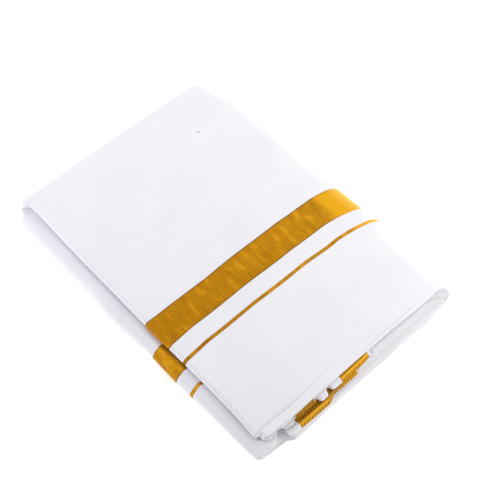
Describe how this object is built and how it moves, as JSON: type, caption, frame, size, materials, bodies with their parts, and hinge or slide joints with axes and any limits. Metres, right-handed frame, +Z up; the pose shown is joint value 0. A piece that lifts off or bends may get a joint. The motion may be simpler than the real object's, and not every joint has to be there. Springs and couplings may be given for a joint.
{
  "type": "folded dhoti cloth",
  "caption": "White cotton dhoti cloth folded flat into a book-folded pack, with a gold selvedge band and line crossing its upper face.",
  "frame": {"origin": "centre of the pack's bounding box, on the plane that the pack rests on", "axes": "+X along the pack's long side towards its open, layered end; +Y across it towards the closed book fold; +Z up through the layers"},
  "size_m": [0.3842, 0.2815, 0.0327],
  "materials": {
    "white_cotton": "matte plain weave",
    "border_cotton": "matte plain weave with gold-coloured stripes at the selvedge",
    "inner_cotton": "matte plain weave, ply edges",
    "gold_border": "ribbed metallic-thread weave, soft sheen"
  },
  "bodies": {
    "root": {"outer_wrap": "white_cotton", "border_flap": "border_cotton", "inner_layers": "inner_cotton", "end_fold_upper": "gold_border", "end_fold_lower": "gold_border"}
  },
  "joints": []
}
